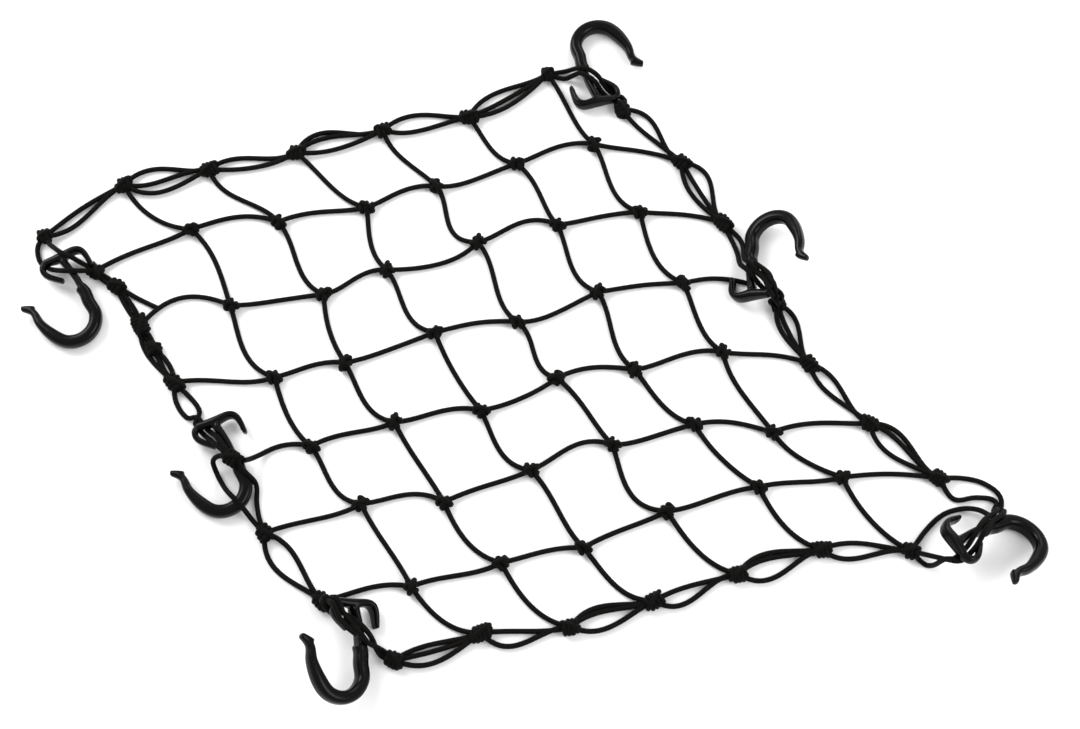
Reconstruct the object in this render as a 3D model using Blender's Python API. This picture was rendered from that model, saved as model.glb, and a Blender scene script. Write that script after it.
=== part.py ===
"""Elastic cargo net lying flat: a knotted mesh, a doubled border cord and six moulded hooks.

Frame: +X along the net's longest side, +Y across it, +Z up. The origin is the middle of the
box's underside. The tables and routes are in millimetres over the floor, from a point near the
middle of the net; the finished solids are in metres and are centred at the end.
"""
import math
from collections import namedtuple

import bmesh
import bpy
from mathutils import Matrix, Vector

MM = 0.001

# ------------------------------------------------------------------ driving dimensions, mm
CORD_RADIUS = 1.6
CORD_STEP = 14.0             # longest straight piece of a cord's route
HOOK_ROUTE_STEP = 9.0        # the same where a cord climbs through a hook
STRAND_LIFT = 0.4            # how much higher each further strand of a span lies
CLEARANCE = 0.35             # gap left between two solids that touch
SHARP_ANGLE = 50.0           # edges steeper than this in degrees are shown sharp
WELD = 1e-6                  # metres within which a cord's corners are one

NET_CENTRE = (-22.8, 4.0)    # middle of the knotted mesh
ACROSS_STEP = (51.5, 12.5)   # from one knot to the next along a row
DOWN_STEP = (29.0, -45.5)    # from one row to the next
ROWS = 6
COLUMNS = 6

KNOT_SIZE = (12.0, 9.5, 8.2)         # length, width and height of a knot in the mesh
BORDER_KNOT_SIZE = (16.0, 10.5, 8.6)
KNOT_CENTRE_HEIGHT = 3.9
KNOT_SIDES = 6
KNOT_RINGS = (0.78, 1.06, 0.84, 0.96)    # girth of the wound turns and the dips between them

HOOK_DEPTH = 9.5
HOOK_CORNER = 0.27           # chamfer of the section's corners, as a part of its width
HOOK_BOW_RADIUS = 15.0       # centre line of the big round bow
HOOK_BOW_WIDTH = 8.0
HOOK_BOW_SWEEP = (36.0, 216.0, 6)    # first and last angle in degrees, number of sections

# ------------------------------------------------------------------ tables, mm and degrees
# How far each knot has drifted from the even lattice, (right, away), a line for each row.
KNOT_DRIFT = (
    ((3.0, 4.5), (6.5, -3.0), (11.0, -5.5), (3.5, -3.0), (3.0, 0.5), (1.5, 2.0)),
    ((2.0, -2.0), (8.5, -7.0), (-4.0, -3.0), (1.5, 3.5), (0.0, 3.0), (1.0, -0.5)),
    ((3.0, -4.0), (-5.5, -7.0), (-2.0, 0.5), (-2.5, -5.0), (-3.5, 2.5), (-1.5, -4.0)),
    ((-1.5, -3.0), (-3.0, 0.0), (-2.0, -5.0), (-7.0, 3.5), (-10.5, -3.5), (-7.5, -4.5)),
    ((1.0, 6.5), (-1.0, -5.0), (-0.5, 2.5), (-2.5, 6.0), (-4.0, 6.5), (-8.0, -11.0)),
    ((3.0, 1.5), (4.5, 3.5), (2.0, 0.0), (0.5, 10.0), (4.5, 12.5), (3.5, 6.0)),
)
# Which way each knot's loose turn points, in degrees from +X, a line for each row.
KNOT_LEAN = (
    (45, -45, 0, 90, 0, 90),
    (-45, 0, 45, 45, -45, 0),
    (0, 90, 0, 0, 45, 90),
    (-45, 45, -45, 45, 90, -45),
    (45, -45, 0, -45, 0, -45),
    (-90, 45, 0, 45, 0, 0),
)
# Bow of each side of the mesh to the left of its chord, at one third and at two thirds of
# the way. A row runs left to right and a column from the far edge to the near one.
ROW_BOWS = (
    ((2.5, 1.0), (5.5, 6.5), (3.5, 2.0), (3.5, 5.0), (-2.2, -0.7), (3.8, 5.5), (2.0, 3.0)),
    ((12.0, 11.5), (0.0, 0.6), (1.5, 4.0), (-4.2, -5.5), (4.8, 8.0), (1.3, 2.0), (2.3, 3.0)),
    ((1.0, -1.3), (2.3, 3.5), (-0.5, 0.0), (3.0, 3.3), (-2.8, -1.3), (2.0, 2.2), (3.5, 3.2)),
    ((3.0, 3.5), (2.4, 0.6), (2.0, 4.0), (-2.0, -2.0), (4.7, 4.2), (2.2, 4.4), (2.0, 3.4)),
    ((0.6, -1.0), (3.8, 6.0), (1.4, 0.5), (4.5, 7.5), (-1.0, 0.0), (4.2, 3.6), (4.0, 3.0)),
    ((2.5, 4.0), (0.8, -0.9), (1.8, 2.7), (1.4, 0.5), (0.0, 1.5), (1.2, 0.0), (2.7, 2.7)),
)
COLUMN_BOWS = (
    ((-6, -6), (4.2, 3.0), (-5.2, -7.5), (-3.2, -3.8), (-3.2, -6.0), (-0.5, 0.5), (-5.0, -6.0)),
    ((-4.4, -0.3), (-1.2, -4.8), (-3, -3), (-3.9, -6.3), (-0.7, 0.0), (-4.8, -5.7), (-5.2, -6.3)),
    ((-1.5, -3.5), (-3.4, -4.6), (-3.0, -6.7), (-2, -2), (-4.4, -6.8), (1.2, -0.6), (-4.3, -6.3)),
    ((-3.5, -1.5), (-4.0, -9.0), (0.3, -3.2), (0.0, -4.2), (2.0, 0.7), (-7, -10), (-4.2, -5.3)),
    ((-2.5, -4.5), (2.9, 0.8), (-3.2, -6.2), (-1, -4), (-2.9, -4.3), (-2.7, -2.6), (-4.4, -5.2)),
    ((0.0, -1.8), (-3.0, -6.3), (-5.0, -6.8), (-2.2, -4.0), (-3.2, -1.8), (-3.6, -2.8), (-4.0, -4.2)),
)

# Knots of the border: name: (x, y, direction of the long axis in degrees, length). They lie
# on the floor but for those in RAISED_KNOTS, which give the height of their middle.
BORDER_KNOTS = {
    "far_left": (-313.0, 86.0, 20.0, 12.0),
    "far_1": (-266.0, 122.0, 20.0, 14.0),
    "far_2": (-212.0, 133.0, 15.0, 14.0),
    "far_3": (-157.0, 145.0, 0.0, 15.0),
    "far_4": (-101.5, 161.0, 15.0, 13.0),
    "far_5": (-46.0, 170.5, 0.0, 16.0),
    "far_6": (5.0, 202.0, 10.0, 11.0),
    "far_right": (53.5, 176.0, -75.0, 15.0),
    "right_1": (91.0, 138.0, -45.0, 16.0),
    "right_2": (116.0, 95.5, -50.0, 15.0),
    "right_3": (148.0, 40.0, 10.0, 12.0),
    "right_4": (166.0, 0.0, -60.0, 16.0),
    "right_5": (200.5, -38.5, -20.0, 15.0),
    "right_6": (240.0, -73.0, -50.0, 14.0),
    "near_left": (-84.5, -183.0, -25.0, 14.0),
    "near_1": (-34.5, -167.0, 25.0, 17.0),
    "near_2": (18.0, -163.5, 5.0, 14.0),
    "near_3": (67.0, -148.0, 20.0, 15.0),
    "near_4": (117.0, -132.0, 5.0, 14.0),
    "near_5": (167.0, -117.0, 10.0, 15.0),
    "near_6": (220.0, -118.0, -20.0, 13.0),
    "left_1": (-279.0, 62.0, -40.0, 13.0),
    "left_1_lower": (-265.0, 52.0, -40.0, 13.0),
    "left_2": (-248.0, 25.5, -65.0, 17.0),
    "left_2_lower": (-238.5, 10.5, -60.0, 12.0),
    "left_3": (-224.5, -12.0, -60.0, 16.0),
    "left_4": (-184.0, -64.0, -35.0, 15.0),
    "left_5": (-164.0, -107.0, -60.0, 13.0),
    "left_6": (-128.0, -148.0, -40.0, 15.0),
}
RAISED_KNOTS = {"left_4": 15.6}       # this one lies on a hook's shank
ROW_ENDS = (
    ("left_1", "right_1"),
    ("left_2", "right_2"),
    ("left_3", "beside_hook_5"),
    ("beside_left_4", "right_4"),
    ("left_5", "right_5"),
    ("left_6", "right_6"),
)
# Ends of rows that meet no knot's middle: under a hook, and beside the knot on a hook.
BESIDE = {"beside_hook_5": (131.0, 54.5, 1.6), "beside_left_4": (-176.5, -65.5, 16.0)}

# Spans of the border: (from, to, bows of each strand at one third and two thirds).
Span = namedtuple("Span", "start end bows")
BORDER_SPANS = (
    Span("far_left", "far_1", ((3.0, 3.0), (-4.5, -1.0))),
    Span("far_1", "far_2", ((8.2, 4.3), (-2.0, 0.8), (-9.0, -6.0))),
    Span("far_2", "far_3", ((4.8, 0.7), (-3.2, -3.7))),
    Span("far_3", "far_4", ((10.0, 4.0), (5.7, 3.0), (-4.0, -3.2))),
    Span("far_4", "far_5", ((8.2, 5.4), (-3.6, -1.5))),
    Span("far_5", "far_6", ((7.0, 3.7), (-0.8, -0.6), (-5.6, -4.5))),
    Span("far_right", "right_1", ((8.4, 2.2), (-1.4, -0.3))),
    Span("right_1", "right_2", ((9.6, 3.5), (-0.5, -0.8), (-6.0, -4.7))),
    Span("right_3", "right_4", ((6.0, 1.9), (-1.5, -1.5), (-5.6, -3.5))),
    Span("right_4", "right_5", ((4.7, 0.5), (-4.3, -2.0))),
    Span("right_5", "right_6", ((7.6, 2.7), (3.4, 0.6), (-7.0, -4.3))),
    Span("near_left", "near_1", ((3.0, 1.4), (-1.2, -1.6), (-8.0, -5.7))),
    Span("near_1", "near_2", ((0.3, -0.8), (-8.6, -3.2))),
    Span("near_2", "near_3", ((6.8, 3.7), (3.6, 1.6), (-6.8, -4.0))),
    Span("near_3", "near_4", ((2.5, 1.7), (-6.7, -1.0))),
    Span("near_4", "near_5", ((7.4, 4.8), (4.2, 2.2), (-8.0, -3.4))),
    Span("near_5", "near_6", ((4.8, 3.3), (-5.0, -1.0))),
    Span("left_1", "left_1_lower", ((1.3, 1.3), (-1.3, -1.3))),
    Span("left_1_lower", "left_2", ((-1.3, -1.3), (1.5, 1.9))),
    Span("left_2", "left_2_lower", ((-1.0, -1.0), (1.3, 1.3))),
    Span("left_2", "left_3", ((-5.2, -3.6),)),
    Span("left_2_lower", "left_3", ((-1.0, -1.4), (2.4, 2.6))),
    Span("left_5", "left_6", ((-8.6, -5.3), (5.3, 2.0))),
)

# Hooks: centre of the bow on the floor and heading of the bow, then the pitch that lifts the
# eye, which lies on the cords, and the roll that lifts the tip's side.
Hook = namedtuple("Hook", "x y heading pitch roll")
HOOKS = {
    "hook_1": Hook(-290.7, 29.5, -167.0, 4.0, 1.0),
    "hook_2": Hook(-191.4, -78.9, -171.5, 2.5, 1.0),
    "hook_3": Hook(-117.2, -192.0, 172.0, -7.0, 36.0),
    "hook_4": Hook(38.6, 221.8, -1.0, 1.5, 0.0),
    "hook_5": Hook(148.4, 80.2, -20.5, -1.0, 33.0),
    "hook_6": Hook(280.0, -116.4, -85.0, 17.0, 22.0),
}
# Sections of a hook's limbs along their centre lines: (x, y, width, depth). The bow's centre is
# (0, 0), the eye lies towards -y, the gate arm on the +x side and the small hook on the -x.
# Where a limb is shallower than the hook it thins from both faces alike.
BOW_TIP = (
    (29.0, -12.8, 3.4, 5.2), (25.5, -11.2, 4.0, 5.8), (22.0, -8.6, 4.6, 6.8), (19.2, -0.6, 5.8, 8.4),
)
BOW_SHANK = (
    (-10.9, -15.2, 7.8, 9.5), (-8.2, -18.8, 7.0, 9.5), (-6.7, -26.9, 4.6, 9.5), (-0.6, -38.5, 4.8, 9.5),
)
BASE_BAR = (
    (11.0, -39.4, 4.0, 6.2), (5.0, -40.1, 5.2, 8.0), (-1.0, -41.5, 5.4, 9.5), (-8.6, -44.1, 4.4, 9.5),
)
SMALL_HOOK = ((-12.4, -43.3, 4.2, 9.5), (-14.8, -40.1, 3.9, 8.6), (-18.0, -31.3, 2.8, 6.4))
GATE_ARM = (
    (9.2, -39.7, 3.8, 6.2), (12.3, -36.9, 3.9, 6.0), (12.1, -33.1, 3.9, 6.0), (9.4, -29.9, 3.8, 6.0),
    (0.8, -25.2, 3.2, 6.0),
)

# Routes of the cords through a hook, in the hook's own frame with z from its underside:
# in under the gate arm or the base bar, up through the eye, over the shank and out, or only
# as far as a knot on the shank.
UNDER_ARM = ((16.5, -39.5, -0.8), (12.0, -36.1, -0.6), (6.8, -33.7, 0.6))
UNDER_BASE = ((11.6, -45.2, -1.2), (9.2, -40.6, -0.6), (5.6, -35.6, 0.6))
OVER_SHANK = (
    (2.4, -30.9, 4.8), (-1.2, -27.8, 10.0), (-6.2, -24.6, 11.7), (-11.4, -21.8, 10.6),
    (-15.4, -20.0, 5.4),
)
ALONG_BAR = (
    (2.4, -30.9, 4.8), (-1.2, -27.8, 10.2), (-6.0, -23.4, 12.1), (-11.2, -17.4, 12.1),
    (-15.2, -10.0, 11.8), (-19.6, -5.4, 9.8), (-22.6, -4.0, 4.6),
)
TO_SHANK = ((2.4, -31.5, 5.4), (0.2, -28.4, 10.4))
PAIR_OFFSET = (0.9, 2.0)             # half the distance between the two cords of a pair

# Pairs of cords through the hooks: the hook, the way in, the way out, the knot on the eye's
# side and the one on the shank's side, and the points (x, y) on the floor between the knots
# and the hook, a line for each cord and in the order in which it runs.
Pair = namedtuple("Pair", "hook entry leave eye_knot eye_side shank_side shank_knot")
NO_POINTS = ((), ())
PAIRS = (
    Pair(
        "hook_2", UNDER_BASE, TO_SHANK, "left_3",
        (((-223.0, -23.5), (-215.5, -34.0)), ((-213.0, -22.5), (-208.0, -30.5))), NO_POINTS, "left_4",
    ),
    Pair(
        "hook_3", UNDER_ARM, OVER_SHANK, "left_6",
        NO_POINTS, (((-92.5, -180.0),), ((-91.5, -177.0),)), "near_left",
    ),
    Pair(
        "hook_4", UNDER_ARM, OVER_SHANK, "far_right",
        NO_POINTS, (((18.0, 200.5),), ((18.0, 205.0),)), "far_6",
    ),
    Pair(
        "hook_5", UNDER_ARM, OVER_SHANK, "right_3",
        NO_POINTS, (((124.0, 77.0),), ((127.0, 84.0),)), "right_2",
    ),
    Pair(
        "hook_6", UNDER_BASE, ALONG_BAR, "near_6", (((234.0, -128.0),), ((236.0, -121.5),)),
        (((273.5, -87.0), (262.0, -84.5), (248.5, -85.5)), ((276.5, -84.0), (268.0, -76.0), (255.5, -72.5))),
        "right_6",
    ),
)
# Single cords of the border that follow a way of their own: (x, y, z).
LOOSE_ROUTES = (
    (
        (-313.0, 86.0, 3.9), (-317.3, 80.5, 1.8), (-316.6, 73.0, 1.6), (-314.0, 68.0, 2.0),
        (-309.8, 64.6, 4.2), (-304.6, 60.8, 9.4), (-296.1, 57.8, 14.8), (-287.6, 59.0, 12.0),
        (-279.0, 62.0, 4.4),
    ),
    (
        (-313.0, 86.0, 3.9), (-309.3, 80.1, 6.0), (-303.2, 73.6, 13.4), (-297.8, 69.2, 16.4),
        (-292.6, 67.4, 14.8), (-286.6, 65.2, 9.6), (-279.0, 62.0, 4.8),
    ),
    (
        (-265.0, 52.0, 3.9), (-253.0, 45.3, 1.8), (-243.8, 39.6, 1.6),
    ),
    (
        (-184.0, -64.0, 15.6), (-190.5, -62.0, 14.6), (-196.4, -63.4, 9.0), (-195.4, -68.4, 3.4),
        (-192.0, -75.0, 2.4), (-187.6, -81.6, 7.6), (-182.6, -87.2, 12.2), (-176.8, -93.0, 8.4),
        (-171.0, -99.6, 2.2), (-164.0, -107.0, 3.9),
    ),
    (
        (-184.0, -64.0, 15.6), (-177.0, -71.0, 12.6), (-170.6, -77.0, 4.6), (-170.0, -87.0, 1.8),
        (-168.0, -97.0, 2.4), (-164.0, -107.0, 3.9),
    ),
    (
        (220.0, -118.0, 3.9), (231.0, -104.0, 1.7), (241.5, -95.0, 1.7), (253.0, -91.6, 2.2),
        (260.6, -93.4, 7.0), (265.4, -98.4, 13.6), (268.4, -102.2, 17.2),
    ),
)


# ------------------------------------------------------------------ scene helpers
def clear_scene():
    """Remove whatever objects the file opened with."""
    for item in list(bpy.data.objects):
        bpy.data.objects.remove(item, do_unlink=True)


def new_collection(name, hidden=False):
    """A collection under the scene; cutters go in a hidden one."""
    collection = bpy.data.collections.new(name)
    bpy.context.scene.collection.children.link(collection)
    collection.hide_render = hidden
    return collection


def material(name, colour, roughness):
    """A plain Principled material."""
    mat = bpy.data.materials.new(name)
    mat.use_nodes = True
    shader = mat.node_tree.nodes["Principled BSDF"]
    shader.inputs["Base Color"].default_value = (*colour, 1.0)
    shader.inputs["Roughness"].default_value = roughness
    shader.inputs["Metallic"].default_value = 0.0
    mat.diffuse_color = (*colour, 1.0)
    return mat


def add_object(name, mesh, collection, mat=None):
    """Link a mesh as an object, smooth but for its sharp edges."""
    item = bpy.data.objects.new(name, mesh)
    if mat:
        mesh.materials.append(mat)
    mesh.shade_smooth()
    mesh.set_sharp_from_angle(angle=math.radians(SHARP_ANGLE))
    collection.objects.link(item)
    return item


def make_guide(item):
    """Mark an object as a cutter: shown as wire and never rendered."""
    item.hide_render = True
    item.display_type = "WIRE"


# ------------------------------------------------------------------ routes
def even_lattice(row, column):
    """Place of a knot in the mesh, mm; row and column count from 1."""
    across = column - (COLUMNS + 1) / 2
    down = row - (ROWS + 1) / 2
    drift = KNOT_DRIFT[row - 1][column - 1]
    return Vector((
        NET_CENTRE[0] + across * ACROSS_STEP[0] + down * DOWN_STEP[0] + drift[0],
        NET_CENTRE[1] + across * ACROSS_STEP[1] + down * DOWN_STEP[1] + drift[1],
        KNOT_CENTRE_HEIGHT,
    ))


def border_place(name):
    """Place of a knot in the border, mm."""
    if name in BESIDE:
        return Vector(BESIDE[name])
    x, y = BORDER_KNOTS[name][:2]
    return Vector((x, y, RAISED_KNOTS.get(name, KNOT_CENTRE_HEIGHT)))


def bowed_route(start, end, bows, lift=0.0):
    """Points from one knot to the next: two bows sideways, and down to the floor between."""
    chord = end - start
    left = Vector((-chord.y, chord.x, 0.0)).normalized()
    # side = t (1 - t) (slope + twist t) is bows[0] at t = 1/3 and bows[1] at t = 2/3
    slope = 9.0 * bows[0] - 4.5 * bows[1]
    twist = 13.5 * (bows[1] - bows[0])
    steps = max(3, round(chord.xy.length / CORD_STEP))
    points = []
    for step in range(steps + 1):
        t = step / steps
        side = t * (1.0 - t) * (slope + twist * t)
        ends = abs(2.0 * t - 1.0) ** 3
        point = start.lerp(end, t) + left * side
        point.z = (CORD_RADIUS + lift) * (1.0 - ends) + (point.z + lift) * ends
        points.append(point)
    return points


def joined_route(stations, bows):
    """One route through a line of knots."""
    points = [stations[0]]
    for start, end, bow in zip(stations, stations[1:], bows):
        points += bowed_route(start, end, bow)[1:]
    return points


def smooth_route(points, step_length):
    """Points of a smooth curve through the given ones, never below the floor."""
    padded = [points[0] * 2 - points[1]] + points + [points[-1] * 2 - points[-2]]
    route = [points[0]]
    for before, start, end, after in zip(padded, padded[1:], padded[2:], padded[3:]):
        steps = max(1, round((end - start).length / step_length))
        reach = (end - start).length
        leave = (end - before).normalized() * reach
        arrive = (after - start).normalized() * reach
        for step in range(1, steps + 1):
            t = step / steps
            point = (
                start * (2 * t**3 - 3 * t**2 + 1) + leave * (t**3 - 2 * t**2 + t)
                + end * (3 * t**2 - 2 * t**3) + arrive * (t**3 - t**2)
            )
            point.z = max(point.z, CORD_RADIUS)
            route.append(point)
    return route


def floor_points(places):
    """Points of a cord that lies on the floor."""
    return [Vector((x, y, CORD_RADIUS)) for x, y in places]


def pair_routes(pair, frame):
    """The two cords that run through a hook, from the knot at its eye to the next knot."""
    routes = []
    for index, sign in enumerate((-1.0, 1.0)):
        points = [border_place(pair.eye_knot)] + floor_points(pair.eye_side[index])
        for x, y, z in pair.entry + pair.leave:
            beside = Vector((sign * PAIR_OFFSET[0], sign * PAIR_OFFSET[1], index * STRAND_LIFT))
            points.append(frame @ (Vector((x, y, z)) + beside))
        points += floor_points(pair.shank_side[index])
        points.append(border_place(pair.shank_knot))
        routes.append(smooth_route(points, HOOK_ROUTE_STEP))
    return routes


# ------------------------------------------------------------------ cords and knots
def cord(name, points, collection, grow=0.0):
    """A round cord along a route in mm: a bevelled curve made a closed mesh."""
    curve = bpy.data.curves.new(name, "CURVE")
    curve.dimensions = "3D"
    curve.bevel_depth = (CORD_RADIUS + grow) * MM
    curve.bevel_resolution = 0
    curve.render_resolution_u = 0
    curve.use_fill_caps = True
    spline = curve.splines.new("POLY")
    spline.points.add(len(points) - 1)
    for target, point in zip(spline.points, points):
        target.co = (*(point * MM), 1.0)
    item = bpy.data.objects.new(name + "_curve", curve)
    collection.objects.link(item)
    depsgraph = bpy.context.evaluated_depsgraph_get()
    mesh = bpy.data.meshes.new_from_object(item.evaluated_get(depsgraph))
    mesh.name = name
    work = bmesh.new()
    work.from_mesh(mesh)
    bmesh.ops.remove_doubles(work, verts=work.verts, dist=WELD)
    bmesh.ops.recalc_face_normals(work, faces=work.faces)
    work.to_mesh(mesh)
    work.free()
    solid = add_object(name, mesh, collection)
    solid.matrix_world = item.matrix_world
    bpy.data.objects.remove(item, do_unlink=True)
    return solid


def knot(name, place, direction, size, collection, grow=0.0):
    """A wound knot: a lump of turns along its axis, parted by a dip."""
    mesh = bpy.data.meshes.new(name)
    work = bmesh.new()
    bmesh.ops.create_uvsphere(work, u_segments=KNOT_SIDES, v_segments=len(KNOT_RINGS) + 1, radius=1.0)
    lie_down = Matrix.Rotation(math.radians(90.0), 3, "Y")
    spin = Matrix.Rotation(math.radians(direction), 3, "Z")
    for vert in work.verts:
        ring = round(math.acos(max(-1.0, min(1.0, vert.co.z))) / math.pi * (len(KNOT_RINGS) + 1))
        ray = lie_down @ vert.co
        girth = 1.0
        if 0 < ring <= len(KNOT_RINGS):
            girth = KNOT_RINGS[ring - 1]
        point = place + spin @ Vector((
            ray.x * (size[0] / 2 + grow),
            ray.y * (size[1] / 2 * girth + grow),
            ray.z * (size[2] / 2 * girth + grow),
        ))
        point.z = max(point.z, -grow)
        vert.co = point * MM
    work.to_mesh(mesh)
    work.free()
    return add_object(name, mesh, collection)


def mesh_pieces(collection):
    """The mesh's knots, rows and columns, each a closed solid."""
    pieces = []
    for row in range(1, ROWS + 1):
        for column in range(1, COLUMNS + 1):
            name = f"knot_{row}_{column}"
            lean = KNOT_LEAN[row - 1][column - 1]
            pieces.append(knot(name, even_lattice(row, column), lean, KNOT_SIZE, collection))
    for row in range(1, ROWS + 1):
        ends = [border_place(name) for name in ROW_ENDS[row - 1]]
        stations = [ends[0]] + [even_lattice(row, column) for column in range(1, COLUMNS + 1)] + [ends[1]]
        pieces.append(cord(f"row_{row}", joined_route(stations, ROW_BOWS[row - 1]), collection))
    for column in range(1, COLUMNS + 1):
        stations = [border_place(f"far_{column}")]
        stations += [even_lattice(row, column) for row in range(1, ROWS + 1)]
        stations.append(border_place(f"near_{column}"))
        pieces.append(cord(f"column_{column}", joined_route(stations, COLUMN_BOWS[column - 1]), collection))
    return pieces


def border_pieces(collection, hook_frames, grow=0.0):
    """The border's knots and strands, each a closed solid; grown, they cut clearances."""
    pieces = []
    for name, (_, _, direction, length) in BORDER_KNOTS.items():
        size = (length, *BORDER_KNOT_SIZE[1:])
        pieces.append(knot("border_" + name, border_place(name), direction, size, collection, grow))
    for span in BORDER_SPANS:
        for index, bows in enumerate(span.bows):
            lift = index * STRAND_LIFT
            route = bowed_route(border_place(span.start), border_place(span.end), bows, lift)
            pieces.append(cord(f"strand_{span.start}", route, collection, grow))
    for pair in PAIRS:
        for route in pair_routes(pair, hook_frames[pair.hook]):
            pieces.append(cord(f"strand_{pair.hook}", route, collection, grow))
    for points in LOOSE_ROUTES:
        route = smooth_route([Vector(point) for point in points], CORD_STEP)
        pieces.append(cord("strand_loose", route, collection, grow))
    return pieces


# ------------------------------------------------------------------ hooks
def limb(name, sections, collection, grow=0.0):
    """A moulded limb: a chamfered bar swept along its centre line, its sections as given."""
    mesh = bpy.data.meshes.new(name)
    work = bmesh.new()
    rings = []
    for index, (x, y, width, depth) in enumerate(sections):
        before = sections[max(index - 1, 0)]
        after = sections[min(index + 1, len(sections) - 1)]
        along = Vector((after[0] - before[0], after[1] - before[1], 0.0)).normalized()
        across = Vector((-along.y, along.x, 0.0))
        half = width / 2 + grow
        corner = HOOK_CORNER * width
        low = (HOOK_DEPTH - depth) / 2 - grow
        high = (HOOK_DEPTH + depth) / 2 + grow
        outline = (
            (half, low + corner), (half, high - corner), (half - corner, high), (corner - half, high),
            (-half, high - corner), (-half, low + corner), (corner - half, low), (half - corner, low),
        )
        reach = 0.0
        if index == 0:
            reach = -grow
        elif index == len(sections) - 1:
            reach = grow
        centre = Vector((x, y, 0.0)) + along * reach
        corners = [centre + across * side + Vector((0.0, 0.0, up)) for side, up in outline]
        rings.append([work.verts.new(point * MM) for point in corners])
    for first, second in zip(rings, rings[1:]):
        for index in range(len(first)):
            following = (index + 1) % len(first)
            work.faces.new((first[index], first[following], second[following], second[index]))
    work.faces.new(rings[0])
    work.faces.new(reversed(rings[-1]))
    bmesh.ops.recalc_face_normals(work, faces=work.faces)
    work.to_mesh(mesh)
    work.free()
    return add_object(name, mesh, collection)


def bow_sections():
    """Tip, round bow and shank in one line of sections."""
    first, last, count = HOOK_BOW_SWEEP
    arc = []
    for index in range(count):
        angle = math.radians(first + (last - first) * index / (count - 1))
        x = HOOK_BOW_RADIUS * math.cos(angle)
        y = HOOK_BOW_RADIUS * math.sin(angle)
        arc.append((x, y, HOOK_BOW_WIDTH, HOOK_DEPTH))
    return BOW_TIP + tuple(arc) + BOW_SHANK


def hook_limbs(name, collection, grow=0.0):
    """The three limbs that make one hook."""
    return [
        limb(name + "_bow", bow_sections(), collection, grow),
        limb(name + "_small", BASE_BAR + SMALL_HOOK, collection, grow),
        limb(name + "_arm", GATE_ARM, collection, grow),
    ]


def hook_frame(hook, low):
    """Where a hook stands, mm: turned, rolled and pitched, its lowest point on the floor."""
    turn = Matrix.Rotation(math.radians(hook.heading), 4, "Z")
    pitch = Matrix.Rotation(math.radians(-hook.pitch), 4, "X")
    roll = Matrix.Rotation(math.radians(-hook.roll), 4, "Y")
    return Matrix.Translation((hook.x, hook.y, -low)) @ turn @ pitch @ roll


def lowest(frame):
    """Height of a hook's lowest edge in its frame, mm."""
    heights = []
    for x, y, width, depth in bow_sections() + BASE_BAR + SMALL_HOOK:
        corner = HOOK_CORNER * width
        low = (HOOK_DEPTH - depth) / 2
        for reach, up in ((width / 2, low + corner), (width / 2 - corner, low)):
            for quarter in range(4):
                side = Vector((reach, 0.0, 0.0))
                side.rotate(Matrix.Rotation(math.radians(90.0 * quarter), 3, "Z"))
                heights.append((frame @ (Vector((x, y, up)) + side)).z)
    return min(heights)


def scaled(frame):
    """A frame in mm as an object's matrix in metres."""
    matrix = frame.copy()
    matrix.translation = frame.translation * MM
    return matrix


# ------------------------------------------------------------------ joining
def combine(item, pieces, operation, collection, name):
    """One Boolean of an object with a collection of pieces, applied."""
    operand = bpy.data.collections.new(name)
    collection.children.link(operand)
    for piece in pieces:
        operand.objects.link(piece)
        if piece.name in collection.objects:
            collection.objects.unlink(piece)
        make_guide(piece)
    modifier = item.modifiers.new(name, "BOOLEAN")
    modifier.operation = operation
    modifier.operand_type = "COLLECTION"
    modifier.collection = operand
    modifier.solver = "EXACT"
    depsgraph = bpy.context.evaluated_depsgraph_get()
    mesh = bpy.data.meshes.new_from_object(item.evaluated_get(depsgraph))
    item.modifiers.clear()
    item.data = mesh
    for piece in list(operand.objects):
        bpy.data.objects.remove(piece, do_unlink=True)
    bpy.data.collections.remove(operand)


def fuse(name, pieces, collection, work_collection, mat):
    """A node fused from overlapping pieces."""
    item = add_object(name, pieces[0].data.copy(), collection, mat)
    bpy.data.objects.remove(pieces[0], do_unlink=True)
    combine(item, pieces[1:], "UNION", work_collection, name + "_union")
    return item


def centre_on_floor(items):
    """Move the finished solids so that the middle of their box's underside is the origin."""
    corners = [item.matrix_world @ vert.co for item in items for vert in item.data.vertices]
    low = [min(corner[axis] for corner in corners) for axis in range(3)]
    high = [max(corner[axis] for corner in corners) for axis in range(3)]
    shift = Vector((-(low[0] + high[0]) / 2, -(low[1] + high[1]) / 2, -low[2]))
    for item in items:
        item.matrix_world = Matrix.Translation(shift) @ item.matrix_world


def build():
    """Build the net in its own frame."""
    clear_scene()
    net = new_collection("cargo_net")
    work = new_collection("cutters", hidden=True)
    elastic = material("black_elastic", (0.012, 0.011, 0.010), 0.62)
    plastic = material("black_plastic", (0.010, 0.010, 0.011), 0.24)

    frames = {}
    for name, hook in HOOKS.items():
        frames[name] = hook_frame(hook, lowest(hook_frame(hook, 0.0)))

    mesh = fuse("net_mesh", mesh_pieces(work), net, work, elastic)
    border = fuse("border_cord", border_pieces(work, frames), net, work, elastic)
    hooks = []
    cutters = []
    for name in HOOKS:
        hook = fuse(name, hook_limbs(name, work), net, work, plastic)
        hook.matrix_world = scaled(frames[name])
        hooks.append(hook)
        for piece in hook_limbs(name, work, CLEARANCE):
            piece.matrix_world = scaled(frames[name])
            cutters.append(piece)
    copies = []
    for piece in cutters:
        copy = piece.copy()
        work.objects.link(copy)
        copies.append(copy)
    combine(border, cutters, "DIFFERENCE", work, "hook_clearance")
    grown = border_pieces(work, frames, CLEARANCE)
    combine(mesh, copies + grown, "DIFFERENCE", work, "border_clearance")
    centre_on_floor([mesh, border] + hooks)


build()
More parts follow.
